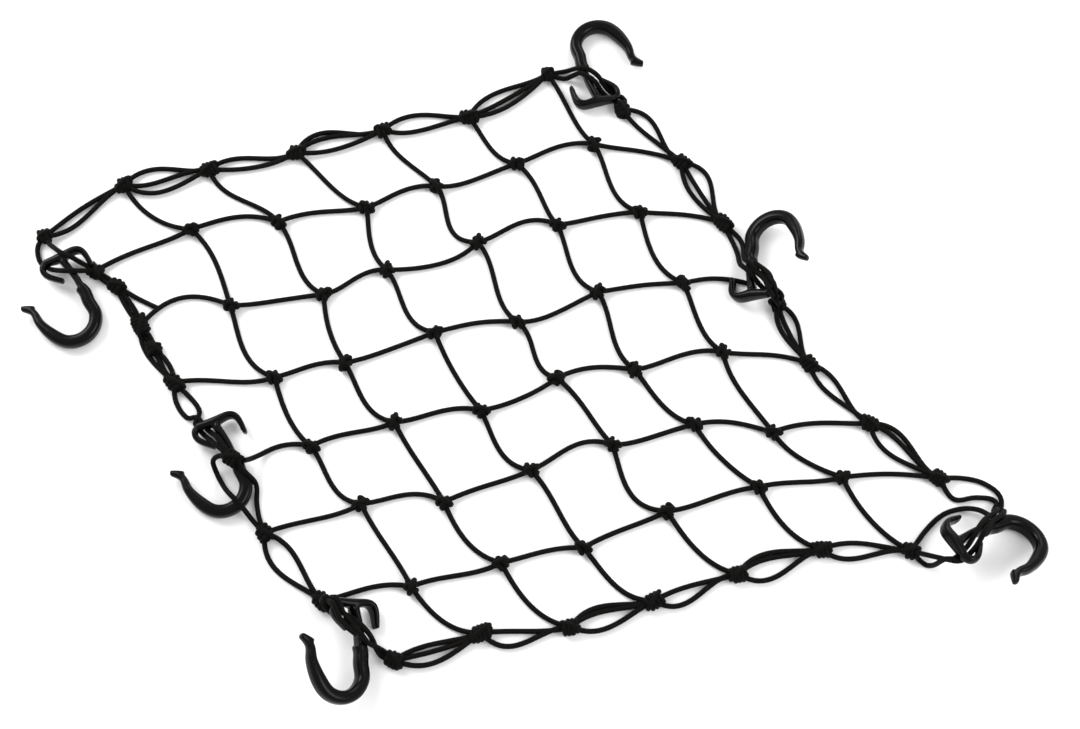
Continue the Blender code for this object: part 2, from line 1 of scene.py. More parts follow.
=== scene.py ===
"""Looks of an elastic cargo net: braided cords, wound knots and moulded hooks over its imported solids.

Laid out as an add-on: one operator for each group of pieces and one for the stage. The tables
give places in millimetres over the floor, from a point near the middle of the net; finished
pieces are in metres in the part's own frame.
"""
import math
import random
from collections import namedtuple

import bmesh
import bpy
from bpy.props import FloatProperty, FloatVectorProperty, IntProperty, PointerProperty
from mathutils import Matrix, Vector


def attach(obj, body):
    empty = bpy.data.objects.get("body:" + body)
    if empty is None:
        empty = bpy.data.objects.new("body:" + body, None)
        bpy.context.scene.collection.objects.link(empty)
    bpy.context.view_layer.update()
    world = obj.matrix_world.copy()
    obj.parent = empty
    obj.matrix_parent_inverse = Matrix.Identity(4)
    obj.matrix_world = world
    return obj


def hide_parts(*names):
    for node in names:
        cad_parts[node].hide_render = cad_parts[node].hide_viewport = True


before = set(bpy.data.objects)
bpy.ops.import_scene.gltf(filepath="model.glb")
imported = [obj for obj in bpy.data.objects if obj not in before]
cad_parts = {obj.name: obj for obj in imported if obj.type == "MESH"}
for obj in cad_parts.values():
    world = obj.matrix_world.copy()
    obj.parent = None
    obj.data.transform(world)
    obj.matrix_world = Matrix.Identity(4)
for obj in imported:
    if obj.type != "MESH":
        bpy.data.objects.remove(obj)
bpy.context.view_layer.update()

bl_info = {
    "name": "Cargo Net",
    "version": (1, 0, 0),
    "blender": (4, 5, 0),
    "location": "View3D > Sidebar > Cargo Net",
    "description": "Builds a knotted elastic cargo net with moulded hooks",
    "category": "Add Mesh",
}

MM = 0.001
TABLE_SHIFT = Vector((10.9928, -14.6758, 0.1903))    # from the tables' places to the part's, mm
ELASTIC_SLOT = "elastic_cord"
PLASTIC_SLOT = "hook_plastic"
WRAP_MAP = "cord_wrap"               # UV map: braid pitches along a cord, turns around it
MOULD_PLACE = "mould_place"          # a hook's surface in its own frame, in metres
# Seeds of the random draws; a knots' mesh uses the number after its own as well.
STRAND_SEED = 41
KNOT_SEED = 42
BORDER_SEED = 44
BORDER_KNOT_SEED = 45

# ------------------------------------------------------------------ the net's layout, mm
CORD_RADIUS = 1.6
STRAND_LIFT = 0.4            # how much higher each further strand of a span or pair lies
SLOPE_POWER = 3              # how late a strand climbs to its knots
NET_CENTRE = (-22.8, 4.0)    # middle of the knotted mesh
ACROSS_STEP = (51.5, 12.5)   # from one knot to the next along a row
DOWN_STEP = (29.0, -45.5)    # from one row to the next
ROWS = 6
COLUMNS = 6
KNOT_CENTRE_HEIGHT = 3.9
NET_KNOT_TURNS = 2.0
HOOK_DEPTH = 9.5
HOOK_BOW_RADIUS = 15.0       # centre line of the big round bow
HOOK_BOW_WIDTH = 8.0
HOOK_BOW_SWEEP = (36.0, 216.0, 6)    # first and last angle in degrees, number of sections
HOOK_CORNER = 0.27           # rounding of the solid's corners, as a part of the bar's width

# A wound knot: turns along its axis, their ends drawn in, and one long turn over them.
KNOT_AIM_SPREAD = 8.0        # degrees by which its axis may stray
COIL_SLANT = 0.22            # how far the turns may lean, as a part of their width
COIL_STEPS = 14              # points of a turn
COIL_REACH = 0.86            # length of the coil, as a part of the knot's
COIL_DRAW = 0.9              # how much its ends are drawn in
COIL_DRAW_POWER = 8
LOOP_LEAN = (0.35, 0.6)      # least and most lean of the long turn
LOOP_STEPS = 24
LOOP_REACH = 0.9             # length of the long turn, as a part of the knot's
LOOP_SIDE = 0.6              # how far beside the knot's middle it runs, mm
LOOP_RISE = 0.75             # how far it stands over the coil, in cord radii
CORE_SIDES = (12, 8)         # segments and rings of the filled core

# How far each knot has drifted from the even lattice, (right, away), a line for each row.
KNOT_DRIFT = (
    ((3.0, 4.5), (6.5, -3.0), (11.0, -5.5), (3.5, -3.0), (3.0, 0.5), (1.5, 2.0)),
    ((2.0, -2.0), (8.5, -7.0), (-4.0, -3.0), (1.5, 3.5), (0.0, 3.0), (1.0, -0.5)),
    ((3.0, -4.0), (-5.5, -7.0), (-2.0, 0.5), (-2.5, -5.0), (-3.5, 2.5), (-1.5, -4.0)),
    ((-1.5, -3.0), (-3.0, 0.0), (-2.0, -5.0), (-7.0, 3.5), (-10.5, -3.5), (-7.5, -4.5)),
    ((1.0, 6.5), (-1.0, -5.0), (-0.5, 2.5), (-2.5, 6.0), (-4.0, 6.5), (-8.0, -11.0)),
    ((3.0, 1.5), (4.5, 3.5), (2.0, 0.0), (0.5, 10.0), (4.5, 12.5), (3.5, 6.0)),
)
# Which way each knot's loose turn points, in degrees from +X, a line for each row.
KNOT_LEAN = (
    (45, -45, 0, 90, 0, 90),
    (-45, 0, 45, 45, -45, 0),
    (0, 90, 0, 0, 45, 90),
    (-45, 45, -45, 45, 90, -45),
    (45, -45, 0, -45, 0, -45),
    (-90, 45, 0, 45, 0, 0),
)
# Bow of each side of the mesh to the left of its chord, at one third and at two thirds of
# the way. A row runs left to right and a column from the far edge to the near one.
ROW_BOWS = (
    ((2.5, 1.0), (5.5, 6.5), (3.5, 2.0), (3.5, 5.0), (-2.2, -0.7), (3.8, 5.5), (2.0, 3.0)),
    ((12.0, 11.5), (0.0, 0.6), (1.5, 4.0), (-4.2, -5.5), (4.8, 8.0), (1.3, 2.0), (2.3, 3.0)),
    ((1.0, -1.3), (2.3, 3.5), (-0.5, 0.0), (3.0, 3.3), (-2.8, -1.3), (2.0, 2.2), (3.5, 3.2)),
    ((6.0, 6.2), (2.4, 0.6), (2.0, 4.0), (-2.0, -2.0), (4.7, 4.2), (2.2, 4.4), (2.0, 3.4)),
    ((0.6, -1.0), (3.8, 6.0), (1.4, 0.5), (4.5, 7.5), (-1.0, 0.0), (4.2, 3.6), (4.0, 3.0)),
    ((2.5, 4.0), (0.8, -0.9), (1.8, 2.7), (1.4, 0.5), (0.0, 1.5), (1.2, 0.0), (2.7, 2.7)),
)
COLUMN_BOWS = (
    ((-6, -6), (4.2, 3.0), (-5.2, -7.5), (-3.2, -3.8), (-3.2, -6.0), (-0.5, 0.5), (-5.0, -6.0)),
    ((-4.4, -0.3), (-1.2, -4.8), (-3, -3), (-3.9, -6.3), (-0.7, 0.0), (-4.8, -5.7), (-5.2, -6.3)),
    ((-1.5, -3.5), (-3.4, -4.6), (-3.0, -6.7), (-2, -2), (-4.4, -6.8), (1.2, -0.6), (-4.3, -6.3)),
    ((-3.5, -1.5), (-4.0, -9.0), (0.3, -3.2), (0.0, -4.2), (2.0, 0.7), (-7, -10), (-4.2, -5.3)),
    ((-2.5, -4.5), (2.9, 0.8), (-3.2, -6.2), (-1, -4), (-2.9, -4.3), (-2.7, -2.6), (-4.4, -5.2)),
    ((0.0, -1.8), (-3.0, -6.3), (-5.0, -6.8), (-2.2, -4.0), (-3.2, -1.8), (-3.6, -2.8), (-4.0, -4.2)),
)

# Knots of the border: name: (x, y, direction of the long axis in degrees, length). They lie
# on the floor but for those in RAISED_KNOTS, which give the height of their middle.
BORDER_KNOTS = {
    "far_left": (-313.0, 86.0, 20.0, 12.0),
    "far_1": (-266.0, 122.0, 20.0, 14.0),
    "far_2": (-212.0, 133.0, 15.0, 14.0),
    "far_3": (-157.0, 145.0, 0.0, 15.0),
    "far_4": (-101.5, 161.0, 15.0, 13.0),
    "far_5": (-46.0, 170.5, 0.0, 16.0),
    "far_6": (5.0, 202.0, 10.0, 11.0),
    "far_right": (53.5, 176.0, -75.0, 15.0),
    "right_1": (91.0, 138.0, -45.0, 16.0),
    "right_2": (116.0, 95.5, -50.0, 15.0),
    "right_3": (148.0, 40.0, 10.0, 12.0),
    "right_4": (166.0, 0.0, -60.0, 16.0),
    "right_5": (200.5, -38.5, -20.0, 15.0),
    "right_6": (240.0, -73.0, -50.0, 14.0),
    "near_left": (-84.5, -183.0, -25.0, 14.0),
    "near_1": (-34.5, -167.0, 25.0, 17.0),
    "near_2": (18.0, -163.5, 5.0, 14.0),
    "near_3": (67.0, -148.0, 20.0, 15.0),
    "near_4": (117.0, -132.0, 5.0, 14.0),
    "near_5": (167.0, -117.0, 10.0, 15.0),
    "near_6": (220.0, -118.0, -20.0, 13.0),
    "left_1": (-279.0, 62.0, -40.0, 13.0),
    "left_1_lower": (-265.0, 52.0, -40.0, 13.0),
    "left_2": (-248.0, 25.5, -65.0, 17.0),
    "left_2_lower": (-238.5, 10.5, -60.0, 12.0),
    "left_3": (-224.5, -12.0, -60.0, 16.0),
    "left_4": (-184.0, -64.0, -35.0, 15.0),
    "left_5": (-164.0, -107.0, -60.0, 13.0),
    "left_6": (-128.0, -148.0, -40.0, 15.0),
}
RAISED_KNOTS = {"left_4": 15.6}       # this one lies on a hook's shank
ROW_ENDS = (
    ("left_1", "right_1"),
    ("left_2", "right_2"),
    ("left_3", "beside_hook_5"),
    ("beside_left_4", "right_4"),
    ("left_5", "right_5"),
    ("left_6", "right_6"),
)
# Ends of rows that meet no knot's middle, (x, y, z): under a hook, and beside the knot on one.
BESIDE = {"beside_hook_5": (131.0, 54.5, 1.6), "beside_left_4": (-176.5, -65.5, 16.0)}

# Spans of the border: the knots at their ends and, for each strand, its bow to the left of the
# chord at one third and at two thirds of the way.
Span = namedtuple("Span", "start end bows")
BORDER_SPANS = (
    Span("far_left", "far_1", ((3.0, 3.0), (-4.5, -1.0))),
    Span("far_1", "far_2", ((8.2, 4.3), (-2.0, 0.8), (-9.0, -6.0))),
    Span("far_2", "far_3", ((4.8, 0.7), (-3.2, -3.7))),
    Span("far_3", "far_4", ((10.0, 4.0), (5.7, 3.0), (-4.0, -3.2))),
    Span("far_4", "far_5", ((8.2, 5.4), (-3.6, -1.5))),
    Span("far_5", "far_6", ((7.0, 3.7), (-0.8, -0.6), (-5.6, -4.5))),
    Span("far_right", "right_1", ((8.4, 2.2), (-1.4, -0.3))),
    Span("right_1", "right_2", ((9.6, 3.5), (-0.5, -0.8), (-6.0, -4.7))),
    Span("right_3", "right_4", ((6.0, 1.9), (-1.5, -1.5), (-5.6, -3.5))),
    Span("right_4", "right_5", ((4.7, 0.5), (-4.3, -2.0))),
    Span("right_5", "right_6", ((7.6, 2.7), (3.4, 0.6), (-7.0, -4.3))),
    Span("near_left", "near_1", ((3.0, 1.4), (-1.2, -1.6), (-8.0, -5.7))),
    Span("near_1", "near_2", ((0.3, -0.8), (-8.6, -3.2))),
    Span("near_2", "near_3", ((6.8, 3.7), (3.6, 1.6), (-6.8, -4.0))),
    Span("near_3", "near_4", ((2.5, 1.7), (-6.7, -1.0))),
    Span("near_4", "near_5", ((7.4, 4.8), (4.2, 2.2), (-8.0, -3.4))),
    Span("near_5", "near_6", ((4.8, 3.3), (-5.0, -1.0))),
    Span("left_1", "left_1_lower", ((1.3, 1.3), (-1.3, -1.3))),
    Span("left_1_lower", "left_2", ((-1.3, -1.3), (1.5, 1.9))),
    Span("left_2", "left_2_lower", ((-1.0, -1.0), (1.3, 1.3))),
    Span("left_2", "left_3", ((-5.2, -3.6),)),
    Span("left_2_lower", "left_3", ((-1.0, -1.4), (2.4, 2.6))),
    Span("left_5", "left_6", ((-8.6, -5.3), (5.3, 2.0))),
)

# Hooks: centre of the bow on the floor and heading of the bow, then the pitch that lifts the
# eye, which lies on the cords, and the roll that lifts the tip's side.
Hook = namedtuple("Hook", "x y heading pitch roll")
HOOKS = {
    "hook_1": Hook(-290.7, 29.5, -167.0, 4.0, 1.0),
    "hook_2": Hook(-191.4, -78.9, -171.5, 2.5, 1.0),
    "hook_3": Hook(-117.2, -192.0, 172.0, -7.0, 36.0),
    "hook_4": Hook(38.6, 221.8, -1.0, 1.5, 0.0),
    "hook_5": Hook(148.4, 80.2, -20.5, -1.0, 33.0),
    "hook_6": Hook(280.0, -116.4, -85.0, 17.0, 22.0),
}
# Sections of a hook's limbs along their centre lines: (x, y, width, depth). The bow's centre is
# (0, 0), the eye lies towards -y, the gate arm on the +x side and the small hook on the -x.
# Where a limb is shallower than the hook it thins from both faces alike. BOW_SHANK is only
# measured, to stand the hook on the floor; BAR_END and RAIL make the same limb.
BOW_TIP = (
    (29.0, -12.8, 3.4, 5.2), (25.5, -11.2, 4.0, 5.8), (22.0, -8.6, 4.6, 6.8), (19.2, -0.6, 5.8, 8.4),
)
BOW_SHANK = (
    (-10.9, -15.2, 7.8, 9.5), (-8.2, -18.8, 7.0, 9.5), (-6.7, -26.9, 4.6, 9.5), (-0.6, -38.5, 4.8, 9.5),
)
BASE_BAR = (
    (11.0, -39.4, 4.0, 6.2), (5.0, -40.1, 5.2, 8.0), (-1.0, -41.5, 5.4, 9.5), (-8.6, -44.1, 4.4, 9.5),
)
SMALL_HOOK = ((-12.4, -43.3, 4.2, 9.5), (-14.8, -40.1, 3.9, 8.6), (-18.0, -31.3, 2.8, 6.4))
SMALL_NUB = ((-17.6, -33.5, 3.0, 7.0), (-16.2, -34.3, 2.4, 6.4), (-15.2, -34.8, 1.6, 5.8))
GATE_ARM = (
    (9.2, -39.7, 3.8, 6.2), (12.3, -36.9, 3.9, 6.0), (12.1, -33.1, 3.9, 6.0), (9.4, -29.9, 3.8, 6.0),
    (0.8, -25.2, 3.2, 6.0),
)
BAR_END = ((-10.9, -15.2, 7.9, 9.5), (-8.6, -19.0, 7.5, 9.5))
RAIL = (
    (-10.9, -15.4, 4.2, 9.5), (-9.3, -18.8, 4.4, 9.5), (-7.0, -25.8, 4.4, 9.5), (-3.6, -33.0, 4.6, 9.5),
    (-0.6, -38.5, 5.2, 9.5),
)
TIP_FOOT = ((20.9, -11.5, 2.6, 5.8), (24.6, -12.1, 3.4, 5.8), (29.3, -13.0, 3.1, 5.2))
CORNER_SEGMENTS = 5          # of the rounding of a limb's edges

# Routes of the cords through a hook, in the hook's own frame with z from its underside:
# in under the gate arm or the base bar, or over the arm, up through the eye, over the shank
# and out, or only as far as the shank.
UNDER_ARM = ((16.5, -39.5, -0.8), (12.0, -36.1, -0.6), (6.8, -33.7, 0.6))
UNDER_BASE = ((11.6, -45.2, -1.2), (9.2, -40.6, -0.6), (5.6, -35.6, 0.6))
UNDER_END = ((8.0, -45.0, -1.2), (8.4, -40.6, -0.6), (5.6, -35.6, 0.6))
OVER_ARM = ((15.2, -37.6, 9.2), (12.4, -34.4, 9.9), (9.4, -30.6, 9.9), (5.0, -27.8, 9.6))
OVER_SHANK = ((2.4, -30.9, 4.8), (-1.2, -27.8, 10.0), (-6.2, -24.6, 11.7), (-11.4, -21.8, 10.6))
ALONG_BAR = (
    (2.4, -30.9, 4.8), (-1.2, -27.8, 10.2), (-6.0, -23.4, 12.1), (-11.2, -17.4, 12.1),
    (-15.2, -10.0, 11.8), (-19.6, -5.4, 9.8), (-22.6, -4.0, 4.6),
)
TO_SHANK = ((2.4, -31.5, 5.4), (0.2, -28.4, 10.4))
ON_SHANK = ((0.6, -25.6, 9.6), (-3.6, -23.8, 10.8))
PAIR_OFFSET = (0.9, 2.0)     # half the way from one cord of a pair to the other, in the hook's x and y

# Pairs of cords through the hooks: the hook, the way in, the way out, the knot on the eye's
# side, the points (x, y) on the floor between it and the hook, those on the shank's side and
# the knot there. Points are given for each cord, in the order in which it runs. A pair without
# a knot on the shank's side ends on the shank.
Pair = namedtuple("Pair", "hook entry leave eye_knot eye_side shank_side shank_knot")
NO_POINTS = ((), ())
PAIRS = (
    Pair(
        "hook_2", UNDER_BASE, TO_SHANK, "left_3",
        (((-223.0, -23.5), (-215.5, -34.0)), ((-213.0, -22.5), (-208.0, -30.5))), NO_POINTS, "left_4",
    ),
    Pair(
        "hook_3", UNDER_ARM, OVER_SHANK, "left_6",
        NO_POINTS, (((-92.5, -180.0),), ((-91.5, -177.0),)), "near_left",
    ),
    Pair("hook_3", OVER_ARM, ON_SHANK, "left_6", NO_POINTS, NO_POINTS, None),
    Pair(
        "hook_4", UNDER_ARM, OVER_SHANK, "far_right",
        NO_POINTS, (((15.5, 199.8),), ((15.5, 205.0),)), "far_6",
    ),
    Pair(
        "hook_5", UNDER_ARM, OVER_SHANK, "right_3",
        NO_POINTS, (((124.0, 77.0),), ((127.0, 84.0),)), "right_2",
    ),
    Pair("hook_5", OVER_ARM, ON_SHANK, "right_3", NO_POINTS, NO_POINTS, None),
    Pair(
        "hook_6", UNDER_END, ALONG_BAR, "near_6", (((229.0, -126.0),), ()),
        (
            ((273.5, -87.0), (262.0, -84.5), (248.5, -85.5)),
            ((276.5, -84.0), (268.0, -76.0), (255.5, -72.5)),
        ),
        "right_6",
    ),
)
# Cords of the border that follow a way of their own, (x, y, z): two from the far left corner
# over hook 1, a short third strand below it, two from the knot on hook 2 and one into hook 6.
LOOSE_ROUTES = (
    (
        (-313.0, 86.0, 3.9), (-317.3, 80.5, 1.8), (-316.6, 73.0, 1.6), (-314.0, 68.0, 2.0),
        (-309.8, 64.6, 4.2), (-304.6, 60.8, 9.4), (-296.1, 57.8, 14.8), (-287.6, 59.0, 12.0),
        (-279.0, 62.0, 4.4),
    ),
    (
        (-313.0, 86.0, 3.9), (-309.3, 80.1, 6.0), (-303.2, 73.6, 13.4), (-297.8, 69.2, 16.4),
        (-292.6, 67.4, 14.8), (-286.6, 65.2, 9.6), (-279.0, 62.0, 4.8),
    ),
    (
        (-265.0, 52.0, 3.9), (-253.0, 45.3, 1.8), (-243.8, 40.6, 1.6), (-237.6, 37.6, 1.4),
    ),
    (
        (-184.0, -64.0, 15.6), (-190.5, -62.0, 14.6), (-196.4, -63.4, 9.0), (-195.4, -68.4, 3.4),
        (-192.0, -75.0, 2.4), (-187.6, -81.6, 7.6), (-182.6, -87.2, 12.2), (-176.8, -93.0, 8.4),
        (-171.0, -99.6, 2.2), (-164.0, -107.0, 3.9),
    ),
    (
        (-184.0, -64.0, 15.6), (-177.0, -71.0, 12.6), (-170.6, -77.0, 4.6), (-170.0, -87.0, 1.8),
        (-168.0, -97.0, 2.4), (-164.0, -107.0, 3.9),
    ),
    (
        (220.0, -118.0, 3.9), (231.0, -104.0, 1.7), (241.5, -95.0, 1.7), (253.0, -91.6, 2.2),
        (260.6, -93.4, 7.0), (265.4, -98.4, 13.6), (268.4, -102.2, 17.2),
    ),
)

# ------------------------------------------------------------------ floor, light and camera
# Softboxes round the net: name, place in metres, share of the key light's power.
SOFTBOXES = (
    ("key", (-1.3, 1.0, 1.5), 1.0),
    ("fill", (1.5, -0.5, 1.4), 0.6),
    ("rim", (0.7, 1.7, 1.1), 0.35),
)
SOFTBOX_SIZE = 1.3           # metres across
FLOOR_REACH = 20.0           # metres from the floor's middle to its edge
AIM = (0.0, 1.2, 0.0)        # what the camera looks at, mm in the tables
SENSOR_WIDTH = 36.0          # mm
FOCAL_LENGTH = 59.33         # mm
NEAR_CLIP = 0.01             # metres


# ------------------------------------------------------------------ settings
class CordSettings(bpy.types.PropertyGroup):
    """Sizes and colours of the elastic cord."""

    step: FloatProperty(
        name="Step", description="Length of one straight piece of a cord",
        default=0.0026, min=0.001, subtype="DISTANCE", unit="LENGTH",
    )
    sides: IntProperty(
        name="Side Divisions", description="Divisions of a quarter turn of a cord",
        default=3, min=1, max=6,
    )
    braid_pitch: FloatProperty(
        name="Braid Pitch", description="Length of one turn of a yarn's step along the cord",
        default=0.0012, min=0.0004, subtype="DISTANCE", unit="LENGTH",
    )
    yarns: IntProperty(
        name="Yarns", description="Yarns of the sheath that turn one way round the cord",
        default=8, min=4, max=24,
    )
    sheath: FloatVectorProperty(
        name="Sheath", description="Colour of the braided sheath",
        default=(0.0012, 0.0011, 0.001), min=0.0, max=1.0, size=3, subtype="COLOR",
    )
    worn: FloatVectorProperty(
        name="Worn Yarn", description="Colour of the tops of the yarns",
        default=(0.0052, 0.0047, 0.0041), min=0.0, max=1.0, size=3, subtype="COLOR",
    )
    roughness: FloatProperty(
        name="Roughness", description="Roughness of the sheath",
        default=0.62, min=0.0, max=1.0, subtype="FACTOR",
    )


class KnotSettings(bpy.types.PropertyGroup):
    """Sizes of the wound knots."""

    net_length: FloatProperty(
        name="Mesh Knot Length", description="Length of a knot in the mesh",
        default=0.012, min=0.006, subtype="DISTANCE", unit="LENGTH",
    )
    width: FloatProperty(
        name="Width", description="Width of a knot in the mesh",
        default=0.0098, min=0.004, subtype="DISTANCE", unit="LENGTH",
    )
    border_width: FloatProperty(
        name="Border Width", description="Width of a knot in the border",
        default=0.0108, min=0.004, subtype="DISTANCE", unit="LENGTH",
    )
    height: FloatProperty(
        name="Height", description="Height of a knot over the floor",
        default=0.0084, min=0.004, subtype="DISTANCE", unit="LENGTH",
    )
    tightness: FloatProperty(
        name="Tightness", description="Thickness of a pulled turn, as a part of the free cord's",
        default=0.94, min=0.5, max=1.0, subtype="FACTOR",
    )


class HookSettings(bpy.types.PropertyGroup):
    """Sizes and colours of the moulded hooks."""

    rounding: FloatProperty(
        name="Rounding", description="Rounding of a bar's edges, as a part of its width",
        default=0.37, min=0.1, max=0.49, subtype="FACTOR",
    )
    section_step: FloatProperty(
        name="Section Step", description="Distance between two sections of a limb",
        default=0.002, min=0.0005, subtype="DISTANCE", unit="LENGTH",
    )
    blend: FloatProperty(
        name="Blend", description="Size of the grid on which the limbs melt together",
        default=0.00052, min=0.0003, subtype="DISTANCE", unit="LENGTH",
    )
    smoothing: IntProperty(
        name="Smoothing", description="Rounds of smoothing that take the grid's steps out",
        default=9, min=0, max=30,
    )
    plastic: FloatVectorProperty(
        name="Plastic", description="Colour of the moulded plastic",
        default=(0.0009, 0.0009, 0.001), min=0.0, max=1.0, size=3, subtype="COLOR",
    )
    roughness: FloatProperty(
        name="Roughness", description="Roughness of the plastic",
        default=0.23, min=0.0, max=1.0, subtype="FACTOR",
    )


class StageSettings(bpy.types.PropertyGroup):
    """Floor, light and camera."""

    floor: FloatVectorProperty(
        name="Floor", description="Colour of the floor",
        default=(0.86, 0.86, 0.86), min=0.0, max=1.0, size=3, subtype="COLOR",
    )
    key_watts: FloatProperty(
        name="Key Light", description="Power of the soft light over the net",
        default=38.0, min=0.0, unit="POWER",
    )
    sky: FloatProperty(
        name="Sky", description="Strength of the even light from all round",
        default=0.85, min=0.0,
    )
    elevation: FloatProperty(
        name="Camera Elevation", description="Angle of the camera over the floor",
        default=math.radians(70.0), subtype="ANGLE", unit="ROTATION",
    )
    distance: FloatProperty(
        name="Camera Distance", description="Distance from the camera to the net's middle",
        default=1.1, min=0.2, subtype="DISTANCE", unit="LENGTH",
    )


# ------------------------------------------------------------------ shader maths
class Signal:
    """A value in a material; arithmetic on it adds Math nodes."""

    def __init__(self, finish, socket):
        self.finish = finish
        self.socket = socket

    def math(self, operation, *others):
        values = dict(enumerate((self, *others)))
        node = self.finish.node("ShaderNodeMath", {"operation": operation}, values)
        return Signal(self.finish, node.outputs[0])

    def __add__(self, other):
        return self.math("ADD", other)

    def __radd__(self, other):
        return self.math("ADD", other)

    def __sub__(self, other):
        return self.math("SUBTRACT", other)

    def __rsub__(self, other):
        return self.math("MULTIPLY_ADD", -1.0, other)

    def __mul__(self, other):
        return self.math("MULTIPLY", other)

    def __rmul__(self, other):
        return self.math("MULTIPLY", other)

    def __abs__(self):
        return self.math("ABSOLUTE")

    def floor(self):
        return self.math("FLOOR")

    def fract(self):
        return self.math("FRACT")

    def sine(self):
        return self.math("SINE")

    def ramp(self, low, high):
        """0 at low, 1 at high, even between and held beyond."""
        return self.finish.value("ShaderNodeMapRange", {"clamp": True}, {
            "Value": self, "From Min": low, "From Max": high,
        })


class Finish:
    """A Principled material and the nodes that vary it."""

    def __init__(self, name):
        self.material = bpy.data.materials.new(name)
        self.material.use_nodes = True
        self.tree = self.material.node_tree
        self.shader = self.tree.nodes["Principled BSDF"]

    def node(self, kind, settings=None, sockets=None):
        """A node, its settings made first, then its sockets set or linked."""
        node = self.tree.nodes.new(kind)
        for name, value in (settings or {}).items():
            setattr(node, name, value)
        for key, value in (sockets or {}).items():
            self.plug(node.inputs[key], value)
        return node

    def value(self, kind, settings=None, sockets=None, output=0):
        """The same, giving one output as a Signal."""
        return Signal(self, self.node(kind, settings, sockets).outputs[output])

    def part_of(self, vector, axis):
        """The X, Y or Z of a vector."""
        return self.value("ShaderNodeSeparateXYZ", {}, {"Vector": vector}, axis)

    def object_place(self):
        """Where a point lies on the piece, in metres."""
        return self.value("ShaderNodeTexCoord", output="Object")

    def plug(self, socket, value):
        """Link a Signal to a socket, or set the socket's value."""
        if isinstance(value, Signal):
            self.tree.links.new(value.socket, socket)
        else:
            socket.default_value = value

    def set(self, sockets):
        """Set or link the shader's own sockets."""
        for name, value in sockets.items():
            self.plug(self.shader.inputs[name], value)

    def mix(self, factor, first, second):
        """Two colours mixed by a Signal."""
        colours = {"Factor": factor, "A": first, "B": second}
        node = self.node("ShaderNodeMix", {"data_type": "RGBA"})
        by_name = {s.name: s for s in node.inputs if s.enabled}
        for name, value in colours.items():
            self.plug(by_name[name], value)
        return Signal(self, next(s for s in node.outputs if s.enabled))

    def noise(self, coordinates, scale, detail=2.0, roughness=0.5):
        """Soft noise about a half, so many grains to the metre."""
        return self.value("ShaderNodeTexNoise", {}, {
            "Vector": coordinates, "Scale": scale, "Detail": detail, "Roughness": roughness,
        })

    def bump(self, height, distance):
        """A surface raised by a Signal, the distance in metres."""
        return self.value("ShaderNodeBump", {}, {"Height": height, "Distance": distance, "Strength": 1.0})


def rgba(colour):
    """A colour property as a socket's four numbers."""
    return (*colour, 1.0)


# ------------------------------------------------------------------ materials
BRAID_RELIEF = 0.00016       # depth of the braid, metres
PLASTIC_RELIEF = 0.0001      # depth of the plastic's marks, metres
PARTING_EDGE = (0.00006, 0.00022)    # metres from half way up: the parting line's edge, then clear of it
DUST_BRIGHTNESS = 3.2        # of lint on the cord, beside its worn yarn
SCUFF_BRIGHTNESS = 3.0       # of scuffs on the plastic, beside its colour
MOTTLE_BRIGHTNESS = 0.985    # of the floor's darker patches, beside its colour


def braided_elastic(cord):
    """Black braided sheath: yarns that cross over and under each other, a little dusty and worn."""
    finish = Finish("braided_elastic")
    wrap = finish.value("ShaderNodeUVMap", {"uv_map": WRAP_MAP})
    along = finish.part_of(wrap, "X")
    around = finish.part_of(wrap, "Y") * cord.yarns
    left = along + around
    right = along - around
    over = ((left.floor() + right.floor()) * 0.5).fract() * 2.0
    left_yarn = (left.fract() * math.pi).sine()
    right_yarn = (right.fract() * math.pi).sine()
    crown = left_yarn * right_yarn
    top = over * left_yarn + (1 - over) * right_yarn
    braid = top * 0.75 + crown * 0.25

    place = finish.object_place()
    patches = finish.noise(place, scale=28.0, detail=3.0)
    fuzz = finish.noise(place, scale=2400.0, detail=3.0, roughness=0.7)
    lint = finish.noise(place, scale=620.0, detail=4.0, roughness=0.65).ramp(0.62, 0.8)
    wear = braid * (patches.ramp(0.35, 0.7) * 0.6 + 0.25) + fuzz * 0.25
    base = finish.mix(wear, rgba(cord.sheath), rgba(cord.worn))
    dust = tuple(min(1.0, channel * DUST_BRIGHTNESS) for channel in cord.worn)
    finish.set({
        "Base Color": finish.mix(lint * 0.5, base, rgba(dust)),
        "Roughness": fuzz * 0.16 + (cord.roughness - 0.08) - braid * 0.06,
        "Normal": finish.bump(braid + fuzz * 0.35, BRAID_RELIEF),
        "Specular IOR Level": 0.05,
        "Sheen Weight": 0.01,
        "Sheen Roughness": 0.45,
    })
    return finish.material


def moulded_plastic(hook):
    """Glossy black plastic: fine flow marks, a parting line half way up, scuffs on the faces."""
    finish = Finish("moulded_plastic")
    mould = finish.value("ShaderNodeAttribute", {"attribute_name": MOULD_PLACE}, output="Vector")
    half_way = HOOK_DEPTH * MM * 0.5
    parting = 1 - abs(finish.part_of(mould, "Z") - half_way).ramp(*PARTING_EDGE)

    place = finish.object_place()
    flow = finish.noise(place, scale=90.0, detail=3.0, roughness=0.6)
    grain = finish.noise(place, scale=1500.0, detail=2.0)
    scuffs = finish.noise(place, scale=330.0, detail=5.0, roughness=0.7).ramp(0.56, 0.74)
    worn = tuple(channel * SCUFF_BRIGHTNESS for channel in hook.plastic)
    finish.set({
        "Base Color": finish.mix(scuffs * 0.35 + flow * 0.2, rgba(hook.plastic), rgba(worn)),
        "Roughness": flow * 0.1 + scuffs * 0.16 + grain * 0.05 + (hook.roughness - 0.1),
        "Normal": finish.bump(parting * 0.5 + flow * 0.25 + grain * 0.03, PLASTIC_RELIEF),
        "Specular IOR Level": 0.11,
    })
    return finish.material


